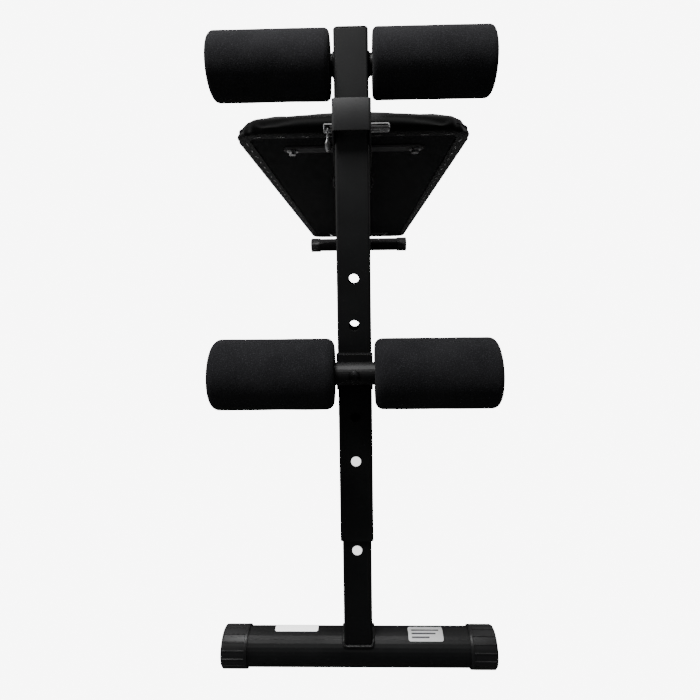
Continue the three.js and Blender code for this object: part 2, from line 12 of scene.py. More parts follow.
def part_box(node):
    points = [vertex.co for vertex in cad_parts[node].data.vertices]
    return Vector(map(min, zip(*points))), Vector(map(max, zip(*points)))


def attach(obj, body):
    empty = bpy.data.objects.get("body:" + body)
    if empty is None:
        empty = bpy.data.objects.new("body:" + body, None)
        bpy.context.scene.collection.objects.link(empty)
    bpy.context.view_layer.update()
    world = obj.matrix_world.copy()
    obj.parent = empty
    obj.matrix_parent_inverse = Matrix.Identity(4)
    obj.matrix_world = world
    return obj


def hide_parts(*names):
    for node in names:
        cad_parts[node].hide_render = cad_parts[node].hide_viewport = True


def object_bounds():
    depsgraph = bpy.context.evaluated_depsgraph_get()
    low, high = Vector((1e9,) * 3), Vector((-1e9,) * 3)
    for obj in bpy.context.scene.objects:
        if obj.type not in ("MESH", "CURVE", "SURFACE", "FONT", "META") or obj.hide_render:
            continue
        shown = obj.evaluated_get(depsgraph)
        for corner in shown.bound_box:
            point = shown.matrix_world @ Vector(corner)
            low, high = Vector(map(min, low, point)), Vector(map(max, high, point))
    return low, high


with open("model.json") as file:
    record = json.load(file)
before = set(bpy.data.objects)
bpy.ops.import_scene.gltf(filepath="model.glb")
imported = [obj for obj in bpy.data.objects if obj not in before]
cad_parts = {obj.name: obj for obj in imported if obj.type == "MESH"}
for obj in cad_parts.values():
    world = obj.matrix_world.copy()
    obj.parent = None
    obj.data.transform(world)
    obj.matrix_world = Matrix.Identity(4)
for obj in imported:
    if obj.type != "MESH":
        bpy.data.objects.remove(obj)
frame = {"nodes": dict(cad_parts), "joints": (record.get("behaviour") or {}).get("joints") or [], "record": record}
CAD_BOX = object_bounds()
NODES = frame["nodes"]
MM = 0.001

# ------------------------------------------------------------------ the CAD frame's own directions


def middle(node):
    low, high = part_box(node)
    return (low + high) / 2


def joint(name):
    return next(j for j in frame["joints"] if j["name"] == name)


X = Vector((1, 0, 0))
POST_UP = -Vector(joint("leg_extend")["axis"]).normalized()
POST_BACK = -Vector(joint("plunger_push")["axis"]).normalized()
FOOT = middle("front_foot_tube")
REAR_FOOT = middle("rear_foot_tube")
FLOOR_Z = CAD_BOX[0][2]

bar_line = middle("rear_cross_bar") - middle("front_cross_bar")
BOARD_DOWN = bar_line.normalized()
BOARD_UP = X.cross(BOARD_DOWN)


def frame_matrix(origin, y_axis, z_axis):
    """Places a piece drawn with +Z along z_axis and +Y along y_axis."""
    turn = Matrix((X, y_axis, z_axis)).transposed().to_4x4()
    return Matrix.Translation(origin) @ turn


def reach(node, direction, origin=Vector((0, 0, 0))):
    """Lowest and highest place of a node's mesh along a direction, in millimetres from origin."""
    places = [direction.dot(vertex.co - origin) / MM for vertex in NODES[node].data.vertices]
    return min(places), max(places)


def middle_at(node, direction, origin=Vector((0, 0, 0))):
    return sum(reach(node, direction, origin)) / 2


# pieces are drawn in millimetres: post pieces from the front foot's centre, board pieces from the
# middle of the board's lower front edge, foot pieces from their own foot's centre
TO_METRES = Matrix.Diagonal((MM, MM, MM, 1))
board_start = BOARD_DOWN * reach("cushion", BOARD_DOWN)[0] * MM
BOARD_ORIGIN = board_start + BOARD_UP * reach("board_ply", BOARD_UP)[0] * MM
POST_PLACE = frame_matrix(FOOT, POST_BACK, POST_UP) @ TO_METRES
BOARD_PLACE = frame_matrix(BOARD_ORIGIN, BOARD_DOWN, BOARD_UP) @ TO_METRES
FOOT_PLACES = {
    "front": Matrix.Translation(FOOT) @ TO_METRES,
    "rear": Matrix.Translation(REAR_FOOT) @ TO_METRES,
}
FOOT_BODIES = {"front": "leg", "rear": "board"}


# ------------------------------------------------------------------ node materials


def new_material(name):
    material = bpy.data.materials.new(name)
    material.use_nodes = True
    tree = material.node_tree
    tree.nodes.clear()
    output = tree.nodes.new("ShaderNodeOutputMaterial")
    shader = tree.nodes.new("ShaderNodeBsdfPrincipled")
    tree.links.new(shader.outputs[0], output.inputs["Surface"])
    return material, tree, shader


def texture(tree, kind, scale, detail=2.0, stretch=(1, 1, 1), **settings):
    """A noise or voronoi texture in object metres; returns its node."""
    coords = tree.nodes.new("ShaderNodeTexCoord")
    mapping = tree.nodes.new("ShaderNodeMapping")
    mapping.inputs["Scale"].default_value = stretch
    node = tree.nodes.new(kind)
    node.inputs["Scale"].default_value = scale
    if "Detail" in node.inputs:
        node.inputs["Detail"].default_value = detail
    for key, value in settings.items():
        setattr(node, key, value)
    tree.links.new(coords.outputs["Object"], mapping.inputs["Vector"])
    tree.links.new(mapping.outputs[0], node.inputs["Vector"])
    return node


def ramp(tree, source, stops):
    """Maps a factor through (position, value or colour) stops."""
    node = tree.nodes.new("ShaderNodeValToRGB")
    elements = node.color_ramp.elements
    while len(elements) < len(stops):
        elements.new(0.5)
    for element, (position, value) in zip(elements, stops):
        element.position = position
        element.color = (value, value, value, 1) if isinstance(value, (int, float)) else (*value, 1)
    tree.links.new(source, node.inputs[0])
    return node.outputs[0]


def bump(tree, height, strength, distance, normal=None):
    node = tree.nodes.new("ShaderNodeBump")
    node.inputs["Strength"].default_value = strength
    node.inputs["Distance"].default_value = distance
    tree.links.new(height, node.inputs["Height"])
    if normal is not None:
        tree.links.new(normal, node.inputs["Normal"])
    return node.outputs[0]


def rounded_edges(tree, radius):
    node = tree.nodes.new("ShaderNodeBevel")
    node.samples = 4
    node.inputs["Radius"].default_value = radius
    return node.outputs[0]


def mix(tree, factor, a, b):
    node = tree.nodes.new("ShaderNodeMix")
    node.data_type = "RGBA"
    tree.links.new(factor, node.inputs["Factor"])
    for socket, value in ((node.inputs["A"], a), (node.inputs["B"], b)):
        if isinstance(value, tuple):
            socket.default_value = (*value, 1)
        else:
            tree.links.new(value, socket)
    return node.outputs["Result"]


def two_tone(tree, source, low, high, dark, light):
    """Blends from dark to light as source climbs from low to high."""
    return mix(tree, ramp(tree, source, [(low, 0), (high, 1)]), dark, light)


def powder_coat(name, dark, light):
    """Satin black powder coat: fine orange peel, faint dust and slightly rounded edges."""
    material, tree, shader = new_material(name)
    cloud = texture(tree, "ShaderNodeTexNoise", 14, 4)
    peel = texture(tree, "ShaderNodeTexNoise", 1100, 2)
    dust = texture(tree, "ShaderNodeTexNoise", 420, 3)
    base = two_tone(tree, cloud.outputs[0], 0.35, 0.7, dark, light)
    colour = two_tone(tree, dust.outputs[0], 0.66, 0.74, base, (0.014, 0.014, 0.0145))
    tree.links.new(colour, shader.inputs["Base Color"])
    tree.links.new(ramp(tree, cloud.outputs[0], [(0.3, 0.46), (0.7, 0.58)]), shader.inputs["Roughness"])
    edges = rounded_edges(tree, 0.6 * MM)
    tree.links.new(bump(tree, peel.outputs[0], 0.12, 0.1 * MM, edges), shader.inputs["Normal"])
    shader.inputs["Specular IOR Level"].default_value = 0.35
    return material


def closed_cell_foam():
    """Matte black foam: tiny open cells, pale flecks and a soft bloom at grazing angles."""
    material, tree, shader = new_material("closed_cell_foam")
    cells = texture(tree, "ShaderNodeTexVoronoi", 900)
    grain = texture(tree, "ShaderNodeTexNoise", 650, 5)
    flecks = texture(tree, "ShaderNodeTexNoise", 1500, 1)
    patches = texture(tree, "ShaderNodeTexNoise", 30, 4)
    dark, light, fleck = (0.0065, 0.0065, 0.0078), (0.0115, 0.0115, 0.013), (0.04, 0.04, 0.045)
    base = two_tone(tree, patches.outputs[0], 0.35, 0.7, dark, light)
    speckled = two_tone(tree, flecks.outputs[0], 0.6, 0.72, base, fleck)
    tree.links.new(speckled, shader.inputs["Base Color"])
    shader.inputs["Roughness"].default_value = 0.9
    shader.inputs["Specular IOR Level"].default_value = 0.15
    shader.inputs["Sheen Weight"].default_value = 0.02
    shader.inputs["Sheen Roughness"].default_value = 0.5
    pits = bump(tree, cells.outputs["Distance"], 0.35, 0.5 * MM)
    tree.links.new(bump(tree, grain.outputs[0], 0.45, 0.5 * MM, pits), shader.inputs["Normal"])
    return material


def moulded_plastic(name, colour, roughness, glow=0.0):
    """Moulded plastic with a fine spark texture; glow is painted light, an emission that brightens thin white
    parts.
    """
    material, tree, shader = new_material(name)
    spark = texture(tree, "ShaderNodeTexNoise", 1600, 2)
    cloud = texture(tree, "ShaderNodeTexNoise", 40, 3)
    lighter = tuple(1.5 * c if c < 0.5 else c for c in colour)
    tint = two_tone(tree, cloud.outputs[0], 0.4, 0.7, colour, lighter)
    tree.links.new(tint, shader.inputs["Base Color"])
    shader.inputs["Roughness"].default_value = roughness
    shader.inputs["Emission Color"].default_value = (1, 1, 1, 1)
    shader.inputs["Emission Strength"].default_value = glow
    edges = rounded_edges(tree, 0.4 * MM)
    tree.links.new(bump(tree, spark.outputs[0], 0.25, 0.08 * MM, edges), shader.inputs["Normal"])
    return material


def zinc_plate():
    """Bright zinc: fine drawn streaks and a faint cloudy passivation."""
    material, tree, shader = new_material("zinc_plate")
    streaks = texture(tree, "ShaderNodeTexNoise", 500, 4, stretch=(0.15, 1, 1))
    cloud = texture(tree, "ShaderNodeTexNoise", 160, 4)
    colour = two_tone(tree, cloud.outputs[0], 0.3, 0.7, (0.62, 0.63, 0.66), (0.86, 0.86, 0.84))
    tree.links.new(colour, shader.inputs["Base Color"])
    shader.inputs["Metallic"].default_value = 1
    tree.links.new(ramp(tree, streaks.outputs[0], [(0.3, 0.2), (0.7, 0.38)]), shader.inputs["Roughness"])
    edges = rounded_edges(tree, 0.4 * MM)
    tree.links.new(bump(tree, streaks.outputs[0], 0.1, 0.05 * MM, edges), shader.inputs["Normal"])
    return material


def black_oxide():
    material, tree, shader = new_material("black_oxide")
    cloud = texture(tree, "ShaderNodeTexNoise", 200, 4)
    colour = two_tone(tree, cloud.outputs[0], 0.35, 0.7, (0.008, 0.008, 0.009), (0.02, 0.02, 0.021))
    tree.links.new(colour, shader.inputs["Base Color"])
    shader.inputs["Metallic"].default_value = 0.7
    tree.links.new(ramp(tree, cloud.outputs[0], [(0.3, 0.3), (0.7, 0.5)]), shader.inputs["Roughness"])
    tree.links.new(rounded_edges(tree, 0.4 * MM), shader.inputs["Normal"])
    return material


def vinyl():
    """Upholstery vinyl: pebbled grain with creases, dull, slightly glossier on the high points."""
    material, tree, shader = new_material("vinyl")
    pebbles = texture(tree, "ShaderNodeTexVoronoi", 520, feature="SMOOTH_F1")
    creases = texture(tree, "ShaderNodeTexVoronoi", 210, feature="DISTANCE_TO_EDGE")
    cloud = texture(tree, "ShaderNodeTexNoise", 9, 4)
    colour = two_tone(tree, cloud.outputs[0], 0.35, 0.7, (0.0035, 0.0035, 0.004), (0.006, 0.006, 0.0065))
    tree.links.new(colour, shader.inputs["Base Color"])
    roughness = ramp(tree, pebbles.outputs["Distance"], [(0.0, 0.38), (0.8, 0.52)])
    tree.links.new(roughness, shader.inputs["Roughness"])
    shader.inputs["Specular IOR Level"].default_value = 0.22
    fine = bump(tree, pebbles.outputs["Distance"], 0.22, 0.2 * MM)
    crease = ramp(tree, creases.outputs["Distance"], [(0.0, 0), (0.09, 1)])
    tree.links.new(bump(tree, crease, 0.12, 0.15 * MM, fine), shader.inputs["Normal"])
    return material


def backing_cloth():
    """Black non-woven cloth stapled under the board."""
    material, tree, shader = new_material("backing_cloth")
    fibres = texture(tree, "ShaderNodeTexNoise", 700, 6, stretch=(1, 0.25, 1))
    dots = texture(tree, "ShaderNodeTexVoronoi", 380)
    dark, light = (0.003, 0.003, 0.0042), (0.0065, 0.0065, 0.0085)
    colour = two_tone(tree, fibres.outputs[0], 0.4, 0.65, dark, light)
    tree.links.new(colour, shader.inputs["Base Color"])
    shader.inputs["Roughness"].default_value = 0.85
    shader.inputs["Specular IOR Level"].default_value = 0.3
    weave = bump(tree, fibres.outputs[0], 0.4, 0.2 * MM)
    tree.links.new(bump(tree, dots.outputs["Distance"], 0.3, 0.15 * MM, weave), shader.inputs["Normal"])
    return material


def sticker_paper(name, glow=0.0):
    material, tree, shader = new_material(name)
    fibre = texture(tree, "ShaderNodeTexNoise", 900, 3)
    colour = two_tone(tree, fibre.outputs[0], 0.35, 0.65, (0.78, 0.78, 0.79), (0.88, 0.88, 0.88))
    tree.links.new(colour, shader.inputs["Base Color"])
    shader.inputs["Roughness"].default_value = 0.4
    # a glow above zero is painted light: an emission, though paper is no lamp
    shader.inputs["Emission Color"].default_value = (1, 1, 1, 1)
    shader.inputs["Emission Strength"].default_value = glow
    return material


def sticker_print():
    material, tree, shader = new_material("sticker_print")
    worn = texture(tree, "ShaderNodeTexNoise", 1200, 3)
    colour = two_tone(tree, worn.outputs[0], 0.45, 0.75, (0.06, 0.06, 0.065), (0.2, 0.2, 0.2))
    tree.links.new(colour, shader.inputs["Base Color"])
    shader.inputs["Roughness"].default_value = 0.5
    return material


PAINT = powder_coat("powder_coat", (0.0032, 0.0032, 0.0036), (0.0055, 0.0055, 0.006))
# painted light: the cross bars get a lighter copy of the black powder coat, standing in for the light they catch
# under the board
BAR_COAT_PAINTED_LIGHT = powder_coat("bar_powder_coat_painted_light", (0.065, 0.065, 0.067), (0.09, 0.09, 0.092))
# painted light: the bracket sheet gets a lighter copy of the black powder coat, standing in for the light its face
# catches
SHEET_COAT_PAINTED_LIGHT = powder_coat("sheet_powder_coat_painted_light", (0.026, 0.026, 0.027), (0.042, 0.042, 0.043))
FOAM = closed_cell_foam()
PLASTIC = moulded_plastic("moulded_plastic", (0.007, 0.007, 0.0076), 0.45)
ZINC = zinc_plate()
BLACK_STEEL = black_oxide()
VINYL = vinyl()
CLOTH = backing_cloth()
# the white plugs carry a painted glow: an emission, though they are no lamp
WHITE_PLASTIC_PAINTED_GLOW = moulded_plastic("white_plastic", (0.85, 0.85, 0.84), 0.4, 1.6)
PAPER = sticker_paper("sticker_paper")
# the left sticker's paper glows: painted light
PAPER_PAINTED_GLOW = sticker_paper("sticker_paper_painted_glow", 2.0)
PRINT = sticker_print()

SLOT_MATERIAL = {
    "frame_paint": PAINT,
    "zinc": ZINC,
    "black_steel": BLACK_STEEL,
    "foam": FOAM,
    "plastic": PLASTIC,
    "vinyl": VINYL,
    "board": CLOTH,
    "white_plastic": WHITE_PLASTIC_PAINTED_GLOW,
}

# ------------------------------------------------------------------ mesh helpers


def shade(obj, angle=35):
    """Smooth shading that keeps edges sharper than angle."""
    mesh = obj.data
    mesh.shade_smooth()
    limit = math.radians(angle)
    work = bmesh.new()
    work.from_mesh(mesh)
    for edge in work.edges:
        edge.smooth = edge.calc_face_angle(math.pi) < limit
    flags = [edge.smooth for edge in work.edges]
    work.free()
    sharp = mesh.attributes.get("sharp_edge") or mesh.attributes.new("sharp_edge", "BOOLEAN", "EDGE")
    sharp.data.foreach_set("value", [not flag for flag in flags])


def paint_node(node, material):
    obj = NODES[node]
    obj.data.materials.clear()
    obj.data.materials.append(material)
    shade(obj)


def piece(name, work, material, body, place=None):
    """A new object from a bmesh, placed and riding on a body."""
    mesh = bpy.data.meshes.new(name)
    bmesh.ops.recalc_face_normals(work, faces=work.faces)
    work.to_mesh(mesh)
    work.free()
    obj = bpy.data.objects.new(name, mesh)
    bpy.context.scene.collection.objects.link(obj)
    if place is not None:
        mesh.transform(place)
    mesh.materials.append(material)
    shade(obj)
    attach(obj, body)
    return obj


def rings_mesh(rings, closed_ends=True, closed_loop=False):
    """Skins a list of equal vertex rings into a bmesh."""
    work = bmesh.new()
    loops = [[work.verts.new(point) for point in ring] for ring in rings]
    pairs = list(zip(loops, loops[1:]))
    if closed_loop:
        pairs.append((loops[-1], loops[0]))
    for a, b in pairs:
        count = len(a)
        for i in range(count):
            work.faces.new((a[i], a[(i + 1) % count], b[(i + 1) % count], b[i]))
    if closed_ends and not closed_loop:
        work.faces.new(loops[0][::-1])
        work.faces.new(loops[-1])
    return work


def arc(centre, radius, start, end, steps=10):
    turns = [start + (end - start) * k / steps for k in range(steps + 1)]
    return [(centre[0] + radius * math.cos(t), centre[1] + radius * math.sin(t)) for t in turns]


def circle(centre, radius, count):
    return arc(centre, radius, 0, 2 * math.pi * (count - 1) / count, count - 1)


def dense(path, step):
    """A closed path with points no further apart than about step."""
    points = []
    for (x0, y0), (x1, y1) in zip(path, path[1:] + path[:1]):
        parts = max(1, round(math.hypot(x1 - x0, y1 - y0) / step))
        points += [(x0 + (x1 - x0) * k / parts, y0 + (y1 - y0) * k / parts) for k in range(parts)]
    return points


for row in frame["record"]["subparts"]:
    paint_node(row["node"], SLOT_MATERIAL[row["material_slot"]])
# the cross bars take the lighter coat, which is painted light
for bar in ("front_cross_bar", "rear_cross_bar"):
    paint_node(bar, BAR_COAT_PAINTED_LIGHT)

# ------------------------------------------------------------------ padded board cover

PLY = {
    "side": reach("board_ply", X)[1],
    "front": reach("board_ply", BOARD_DOWN, BOARD_ORIGIN)[0],
    "rear": reach("board_ply", BOARD_DOWN, BOARD_ORIGIN)[1],
    "top": reach("board_ply", BOARD_UP, BOARD_ORIGIN)[1],
}
PAD_HALF = reach("cushion", X)[1]
PAD_LENGTH = reach("cushion", BOARD_DOWN, BOARD_ORIGIN)[1]
PAD_TOP = reach("cushion", BOARD_UP, BOARD_ORIGIN)[1]
PAD_SWELL = 4.5  # the most that the simulated cover may move
PAD_CORNER = 30
PAD_SIDE = 17  # height of the padding just inside its rolled edge
PAD_ROLL = 13
PAD_RIM = 6  # where the side turns into the roll
PLY_CORNER = 24
COVER = 1.4  # cover folded under the ply
HEM = 14  # how far the folded cover reaches under the ply
STAPLE_PITCH = 31
STAPLE_SIZE = (11, 1.3, 0.7)
VOXEL = 5
HELD_BELOW = 1.5  # the cover under this height is stapled down
PRESSURE = 4
CLOTH_FRAMES = 20
DIMPLE, PLEAT, SLACK = 0.35, 0.5, 0.35  # depths of the cover's small unevennesses


def smooth_step(value, low, high):
    t = min(1, max(0, (value - low) / (high - low)))
    return t * t * (3 - 2 * t)


def pad_blank():
    """The cover's shape before it swells: crowned across, rolled edges, bent round at the corners."""
    columns, rows = 30, 60
    half_length = PAD_LENGTH / 2
    work = bmesh.new()
    layers = []
    for upper in (False, True):
        grid = []
        for row in range(rows + 1):
            line = []
            for column in range(columns + 1):
                x = PAD_HALF * math.sin((2 * column / columns - 1) * math.pi / 2)
                y = half_length * math.sin((2 * row / rows - 1) * math.pi / 2)
                crown = max(0, 1 - abs(x / PAD_HALF) ** 2.4) ** 0.55
                full = PAD_SIDE + (PAD_TOP - PAD_SIDE) * crown
                a = max(0, abs(x) - PAD_HALF + PAD_CORNER) / PAD_CORNER
                b = max(0, abs(y) - half_length + PAD_CORNER) / PAD_CORNER
                bent = (a * math.sqrt(1 - b * b / 2), b * math.sqrt(1 - a * a / 2))
                x -= math.copysign((a - bent[0]) * PAD_CORNER, x)
                y -= math.copysign((b - bent[1]) * PAD_CORNER, y)
                inset = PAD_CORNER * (1 - math.hypot(*bent))
                roll = math.sqrt(max(0, 1 - (1 - min(1, max(0, inset / PAD_ROLL))) ** 2))
                z = PAD_RIM + (full - PAD_RIM) * roll if upper else -COVER
                line.append(work.verts.new((x, half_length + y, z)))
            grid.append(line)
        layers.append(grid)
    low, high = layers
    for row in range(rows):
        for column in range(columns):
            for grid, order in ((high, 1), (low, -1)):
                near, far = grid[row], grid[row + 1]
                corners = (near[column], near[column + 1], far[column + 1], far[column])
                work.faces.new(corners[::order])
    rim = [(row, 0) for row in range(rows)]
    rim += [(rows, column) for column in range(columns)]
    rim += [(row, columns) for row in range(rows, 0, -1)]
    rim += [(0, column) for column in range(columns, 0, -1)]
    for (r0, c0), (r1, c1) in zip(rim, rim[1:] + rim[:1]):
        work.faces.new((low[r0][c0], low[r1][c1], high[r1][c1], high[r0][c0]))
    bmesh.ops.recalc_face_normals(work, faces=work.faces)
    return work


def modified(obj):
    """Replaces an object's mesh by its evaluated one and drops the modifiers."""
    bpy.context.view_layer.update()
    mesh = bpy.data.meshes.new_from_object(obj.evaluated_get(bpy.context.evaluated_depsgraph_get()))
    obj.modifiers.clear()
    obj.data = mesh


def coordinates(mesh):
    flat = np.empty(3 * len(mesh.vertices))
    mesh.vertices.foreach_get("co", flat)
    return flat.reshape(-1, 3)


def set_coordinates(mesh, points):
    mesh.vertices.foreach_set("co", points.ravel())
    mesh.update()


def inflate(obj):
    """Swells the cover with cloth pressure; the part folded under the ply is held."""
    start = coordinates(obj.data)
    group = obj.vertex_groups.new(name="held")
    for index in np.nonzero(start[:, 2] < HELD_BELOW * MM)[0]:
        group.add([int(index)], 1.0, "REPLACE")
    cloth = obj.modifiers.new("pressure", "CLOTH")
    cloth.settings.use_pressure = True
    cloth.settings.uniform_pressure_force = PRESSURE
    cloth.settings.vertex_group_mass = "held"
    cloth.settings.effector_weights.gravity = 0
    scene = bpy.context.scene
    for number in range(1, CLOTH_FRAMES + 1):
        scene.frame_set(number)
    swollen = coordinates(obj.evaluated_get(bpy.context.evaluated_depsgraph_get()).data)
    obj.modifiers.clear()
    obj.vertex_groups.clear()
    scene.frame_set(1)
    step = swollen - start
    length = np.linalg.norm(step, axis=1, keepdims=True)
    step *= np.minimum(1, PAD_SWELL * MM / np.maximum(length, 1e-9))
    set_coordinates(obj.data, start + step)


def pull_and_pleat(obj):
    """Staples dimple the lower sides and the cover gathers into small pleats at the corners."""
    mesh = obj.data
    points = coordinates(mesh) / MM
    normals = np.empty(3 * len(mesh.vertices))
    mesh.vertices.foreach_get("normal", normals)
    normals = normals.reshape(-1, 3)
    half = PAD_LENGTH / 2
    x, y, z = np.abs(points[:, 0]), np.abs(points[:, 1] - half), points[:, 2]
    around = np.where(PAD_HALF - x < half - y, points[:, 1], points[:, 0])
    edge = np.minimum(PAD_HALF - x, half - y)
    low = np.clip(1 - np.abs(z - 3) / 9, 0, 1) * np.clip(1 - edge / 14, 0, 1)
    shift = -DIMPLE * low * (0.5 + 0.5 * np.cos(2 * math.pi * around / STAPLE_PITCH))
    corner_x, corner_y = x - (PAD_HALF - PAD_CORNER), y - (half - PAD_CORNER)
    angle = np.arctan2(corner_y, corner_x)
    out = np.hypot(corner_x, corner_y) / PAD_CORNER
    near = np.clip((out - 0.35) / 0.4, 0, 1) * (corner_x > 0) * (corner_y > 0)
    shift += PLEAT * near * np.sin(angle * 14) * np.clip(1 - (z - 4) / 16, 0, 1) * (z > -COVER / 2)
    slack = [noise.noise(Vector(point) * 0.012) for point in points]
    shift += SLACK * np.array(slack) * (z > 2)
    set_coordinates(mesh, (points + normals * shift[:, None]) * MM)


def rounded_rectangle(half_x, half_y, radius, steps=6):
    """Points round a rectangle with rounded corners, about the origin."""
    points = []
    for quarter, (sx, sy) in enumerate(((1, 1), (-1, 1), (-1, -1), (1, -1))):
        centre = (sx * (half_x - radius), sy * (half_y - radius))
        points += arc(centre, radius, quarter * math.pi / 2, (quarter + 1) * math.pi / 2, steps)
    return points


def ply_recess():
    """The space inside the cover that the ply fills, with a little clearance."""
    clear = 0.4
    half_y = (PLY["rear"] - PLY["front"]) / 2
    centre_y = (PLY["rear"] + PLY["front"]) / 2
    outline = rounded_rectangle(PLY["side"] + clear, half_y + clear, PLY_CORNER + clear, 12)
    rings = [[Vector((x, centre_y + y, z)) for x, y in outline] for z in (-clear, PLY["top"] + clear)]
    return rings_mesh(rings)


def hem_opening():
    """The opening inside the hem's cut edge under the board, which wanders a little."""
    half_y = (PLY["rear"] - PLY["front"]) / 2 - HEM
    centre_y = (PLY["rear"] + PLY["front"]) / 2
    outline = []
    for x, y in dense(rounded_rectangle(PLY["side"] - HEM, half_y, 12), 9):
        wander = 1.3 * noise.noise(Vector((x, y, 0)) * 0.035)
        outline.append((x + math.copysign(wander, x), centre_y + y + wander))
    return rings_mesh([[Vector((x, y, z)) for x, y in outline] for z in (-6, 4)])


def loose_object(name, work):
    mesh = bpy.data.meshes.new(name)
    bmesh.ops.recalc_face_normals(work, faces=work.faces)
    work.to_mesh(mesh)
    work.free()
    obj = bpy.data.objects.new(name, mesh)
    bpy.context.scene.collection.objects.link(obj)
    return obj


def carve(obj, work, operation="DIFFERENCE"):
    tool = loose_object("tool", work)
    tool.data.transform(Matrix.Diagonal((MM, MM, MM, 1)))
    change = obj.modifiers.new("carve", "BOOLEAN")
    change.operation = operation
    change.solver = "EXACT"
    change.object = tool
    modified(obj)
    bpy.data.objects.remove(tool)


def adopt(obj, material, body, place):
    """Puts a finished loose object (already in metres) in its place on a body."""
    obj.data.transform(place)
    obj.data.materials.clear()
    obj.data.materials.append(material)
    shade(obj)
    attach(obj, body)


def board_cover():
    cover = loose_object("board_cover", pad_blank())
    cover.data.transform(Matrix.Diagonal((MM, MM, MM, 1)))
    remesh = cover.modifiers.new("even", "REMESH")
    remesh.mode = "VOXEL"
    remesh.voxel_size = VOXEL * MM
    modified(cover)
    inflate(cover)
    smoother = cover.modifiers.new("finer", "SUBSURF")
    smoother.levels = smoother.render_levels = 1
    modified(cover)
    pull_and_pleat(cover)
    carve(cover, ply_recess())
    carve(cover, hem_opening())
    adopt(cover, VINYL, "board", BOARD_PLACE @ TO_METRES.inverted())
    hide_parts("cushion")


board_cover()


def staples():
    """Flat-crowned staples all round the hem, pressed slightly into it."""
    work = bmesh.new()
    inset = HEM * 0.55
    half_x = PLY["side"] - inset
    y0, y1 = PLY["front"] + inset, PLY["rear"] - inset
    places = []
    for sign in (-1, 1):
        count = int((y1 - y0 - 30) // STAPLE_PITCH)
        start = (y0 + y1 - count * STAPLE_PITCH) / 2
        places += [(sign * half_x, start + k * STAPLE_PITCH, math.pi / 2) for k in range(count + 1)]
    for y in (y0, y1):
        count = int((2 * half_x - 30) // STAPLE_PITCH)
        start = -count * STAPLE_PITCH / 2
        places += [(start + k * STAPLE_PITCH, y, 0) for k in range(count + 1)]
    for number, (x, y, turn) in enumerate(places):
        lean = 0.25 * math.sin(number * 2.4)
        where = Matrix.Translation((x, y, -COVER - 0.15)) @ Matrix.Rotation(turn + lean, 4, "Z")
        bar = bmesh.ops.create_cube(work, size=1, matrix=where @ Matrix.Diagonal((*STAPLE_SIZE, 1)))
        edges = {edge for vertex in bar["verts"] for edge in vertex.link_edges}
        bmesh.ops.bevel(work, geom=list(edges), offset=0.25, segments=2, affect="EDGES")
    piece("hem_staples", work, ZINC, "board", BOARD_PLACE)


staples()

# ------------------------------------------------------------------ foam rollers


def foam_roller(node, corner):
    """A foam sleeve with soft round ends, a countersunk bore and a very slightly uneven surface."""
    x0, x1 = reach(node, X)
    z0, z1 = reach(node, POST_UP, FOOT)
    radius = (z1 - z0) / 2
    bore = BORES[node.split("_")[0]]
    profile = [(x0 + 1.5, bore), (x0, bore + 2)]
    for at, spin in ((x0 + corner, math.pi), (x1 - corner, math.pi / 2)):
        for step in range(9):
            angle = spin - step / 8 * math.pi / 2
            profile.append((at + corner * math.cos(angle), radius - corner + corner * math.sin(angle)))
        if at == x0 + corner:
            straight = x1 - x0 - 2 * corner
            profile += [(at + straight * k / 14, radius) for k in range(1, 14)]
    profile += [(x1, bore + 2), (x1 - 1.5, bore)]
    rings = []
    for step in range(72):
        angle = 2 * math.pi * step / 72
        ring = []
        for x, r in profile:
            point = Vector((x * 0.02, math.cos(angle), math.sin(angle)))
            uneven = r + 0.35 * noise.noise(point * 2.1 + Vector((x0, 0, 0))) if r > radius - 3 else r
            ring.append(Vector((x, uneven * math.cos(angle), uneven * math.sin(angle))))
        rings.append(ring)
    work = rings_mesh(rings, closed_loop=True)
    centre = Matrix.Translation((0, middle_at(node, POST_BACK, FOOT), middle_at(node, POST_UP, FOOT)))
    body = node.replace("_foam_", "_roller_")
    roller = piece(node + "_sleeve", work, FOAM, body, POST_PLACE @ centre)
    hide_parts(node)


def tube_radius(node):
    low, high = reach(node, POST_UP, FOOT)
    return (high - low) / 2


BORES = {level: tube_radius(level + "_cross_tube") + 0.3 for level in ("upper", "lower")}
FOAM_CORNERS = {"upper": 6, "lower": 9}
for level, corner in FOAM_CORNERS.items():
    for side in ("left", "right"):
        foam_roller(f"{level}_foam_{side}", corner)

# ------------------------------------------------------------------ ribbed foot caps

TUBE_RADIUS = reach("front_foot_tube", Vector((0, 0, 1)), FOOT)[1]
CAP_INNER, CAP_OUTER = reach("front_foot_cap_right", X)
CAP_LOW, CAP_RADIUS = reach("front_foot_cap_right", Vector((0, 0, 1)), FOOT)
SOLE_HALF = 7  # half width of the flat under the cap
CAP_RIDGES = 16
RIDGE = 0.7
NO_RIDGE = 0.001  # round, but still with the flat sole


def cap_ring(x, radius, ridge):
    """One cross-section of a foot cap: flats between thin ridges, with a flat sole underneath."""
    ring = []
    for rib in range(CAP_RIDGES):
        for part, height in ((0, 0), (0.05, 1), (0.14, 1), (0.19, 0), (0.46, 0), (0.73, 0)):
            angle = 2 * math.pi * (rib + part) / CAP_RIDGES
            r = radius + ridge * height
            y, z = r * math.cos(angle), r * math.sin(angle)
            if ridge and z < 0 and abs(y) < SOLE_HALF:
                z = CAP_LOW
            ring.append(Vector((x, y, z)))
    return ring


